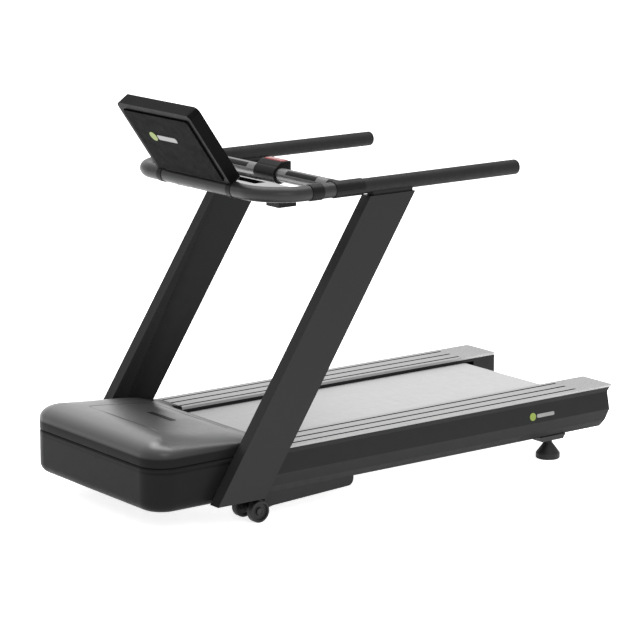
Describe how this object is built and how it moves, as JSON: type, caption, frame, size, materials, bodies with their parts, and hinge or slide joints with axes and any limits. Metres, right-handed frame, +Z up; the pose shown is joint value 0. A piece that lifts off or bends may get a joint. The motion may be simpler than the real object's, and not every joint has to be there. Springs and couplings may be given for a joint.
{
  "type": "motorised treadmill",
  "caption": "Motorised flat-belt treadmill with powered incline, leaning uprights, looped handlebar with pulse grips, tilted console, transport wheels and levelling feet.",
  "frame": {"origin": "on the floor, under the middle of the footprint", "axes": "+Y from the motor hood to the rear of the deck, +X to the right when seen from the hood looking to the rear, +Z up"},
  "size_m": [0.921, 2.1, 1.453],
  "materials": {
    "frame_paint": "satin black powder coat",
    "deck_wood": "sealed board",
    "cushion_rubber": "matt",
    "belt_fabric": "fine textured running surface",
    "roller_steel": "turned",
    "zinc": "zinc plated",
    "pulley": "cast, machined",
    "motor_case": "gloss black",
    "motor_core": "machined",
    "drive_belt": "matt",
    "controller": "cast heat sink",
    "inlet_plastic": "moulded",
    "switch_red": "moulded",
    "lift_motor_case": "cast, painted",
    "wheel_rubber": "solid tread",
    "bracket_paint": "satin",
    "rail_aluminium": "brushed and anodised",
    "strip_black": "matt",
    "rail_wall_black": "matt",
    "skirt_plastic": "fine texture",
    "hood_gloss": "semi gloss moulding",
    "badge": "plain plate",
    "upright_paint": "satin powder coat",
    "bar_foam": "foam grip",
    "bar_paint": "satin powder coat",
    "trim_black": "moulded",
    "contact_metal": "polished",
    "stop_red": "moulded",
    "tray_plastic": "moulded",
    "console_plastic": "semi gloss moulding",
    "console_panel": "fine texture",
    "screen_glass": "dark display lens"
  },
  "bodies": {
    "treadmill": {"frame_rail_right": "frame_paint", "frame_rail_left": "frame_paint", "cross_members": "frame_paint", "motor_plate": "frame_paint", "deck_board": "deck_wood", "deck_cushions": "cushion_rubber", "walking_belt": "belt_fabric", "roller_axles": "roller_steel", "roller_bearings": "roller_steel", "tension_bolts": "zinc", "drive_motor": "motor_case", "motor_bracket": "frame_paint", "drive_belt": "drive_belt", "controller_box": "controller", "power_inlet": "inlet_plastic", "lift_motor": "lift_motor_case", "foot_brackets": "bracket_paint", "rail_right": "rail_aluminium", "rail_left": "rail_aluminium", "rail_strips": "strip_black", "rail_walls": "rail_wall_black", "skirt_right": "skirt_plastic", "skirt_left": "skirt_plastic", "end_cap_right": "skirt_plastic", "end_cap_left": "skirt_plastic", "lift_guards": "skirt_plastic", "hood_base": "skirt_plastic", "hood_cover": "hood_gloss", "badge_plates": "badge", "upright_right": "upright_paint", "upright_left": "upright_paint", "upright_bolts": "zinc", "handlebars": "bar_foam", "handle_caps": "trim_black", "bar_collars": "trim_black", "bar_sleeves": "trim_black", "front_bar": "bar_paint", "pulse_bar": "trim_black", "pulse_contacts": "contact_metal", "pulse_strips": "trim_black", "control_pod": "trim_black", "accessory_tray": "tray_plastic", "console_shell": "console_plastic", "console_back": "console_panel", "console_screen": "screen_glass"},
    "front_roller": {"front_roller": "roller_steel", "roller_pulley": "pulley"},
    "rear_roller": {"rear_roller": "roller_steel"},
    "motor_rotor": {"motor_rotor": "motor_core"},
    "lift": {"lift_frame": "frame_paint", "lift_pins": "zinc"},
    "lift_screw": {"lift_screw": "zinc"},
    "wheel_right_outer": {"wheel_right_outer": "wheel_rubber"},
    "wheel_right_inner": {"wheel_right_inner": "wheel_rubber"},
    "wheel_left_outer": {"wheel_left_outer": "wheel_rubber"},
    "wheel_left_inner": {"wheel_left_inner": "wheel_rubber"},
    "foot_right": {"foot_right": "wheel_rubber"},
    "foot_left": {"foot_left": "wheel_rubber"},
    "power_switch": {"power_switch": "switch_red"},
    "stop_button": {"stop_button": "stop_red"}
  },
  "joints": [
    {"name": "front_roller_spin", "type": "hinge", "parent": "treadmill", "child": "front_roller", "pos_m": [0, -0.69, 0.185], "axis": [1, 0, 0], "continuous": true},
    {"name": "rear_roller_spin", "type": "hinge", "parent": "treadmill", "child": "rear_roller", "pos_m": [0, 0.887, 0.185], "axis": [1, 0, 0], "continuous": true},
    {"name": "motor_spin", "type": "hinge", "parent": "treadmill", "child": "motor_rotor", "pos_m": [0, -0.895, 0.202], "axis": [1, 0, 0], "continuous": true},
    {"name": "incline", "type": "hinge", "parent": "treadmill", "child": "lift", "pos_m": [0, -0.225, 0.118], "axis": [1, 0, 0], "range_deg": [0, 33]},
    {"name": "lift_screw_travel", "type": "slide", "parent": "treadmill", "child": "lift_screw", "axis": [0, 0.9914, -0.1305], "range_m": [0, 0.0345]},
    {"name": "wheel_right_outer_spin", "type": "hinge", "parent": "lift", "child": "wheel_right_outer", "pos_m": [0, -0.625, 0.04], "axis": [1, 0, 0], "continuous": true},
    {"name": "wheel_right_inner_spin", "type": "hinge", "parent": "lift", "child": "wheel_right_inner", "pos_m": [0, -0.625, 0.04], "axis": [1, 0, 0], "continuous": true},
    {"name": "wheel_left_outer_spin", "type": "hinge", "parent": "lift", "child": "wheel_left_outer", "pos_m": [0, -0.625, 0.04], "axis": [1, 0, 0], "continuous": true},
    {"name": "wheel_left_inner_spin", "type": "hinge", "parent": "lift", "child": "wheel_left_inner", "pos_m": [0, -0.625, 0.04], "axis": [1, 0, 0], "continuous": true},
    {"name": "foot_right_level", "type": "slide", "parent": "treadmill", "child": "foot_right", "axis": [0, 0, 1], "range_m": [-0.015, 0.005]},
    {"name": "foot_left_level", "type": "slide", "parent": "treadmill", "child": "foot_left", "axis": [0, 0, 1], "range_m": [-0.015, 0.005]},
    {"name": "power_switch_rock", "type": "hinge", "parent": "treadmill", "child": "power_switch", "pos_m": [-0.396, -0.871, 0.167], "axis": [0, 1, 0], "range_deg": [-14, 0]},
    {"name": "stop_button_press", "type": "slide", "parent": "treadmill", "child": "stop_button", "axis": [0, 0, -1], "range_m": [0, 0.0035], "stiffness_N_per_m": 900, "springref_m": -0.003}
  ],
  "couplings": [
    {"joint": "rear_roller_spin", "follows": "front_roller_spin", "ratio": 1},
    {"joint": "motor_spin", "follows": "front_roller_spin", "ratio": 2},
    {"joint": "lift_screw_travel", "follows": "incline", "m_per_rad": 0.0592}
  ]
}
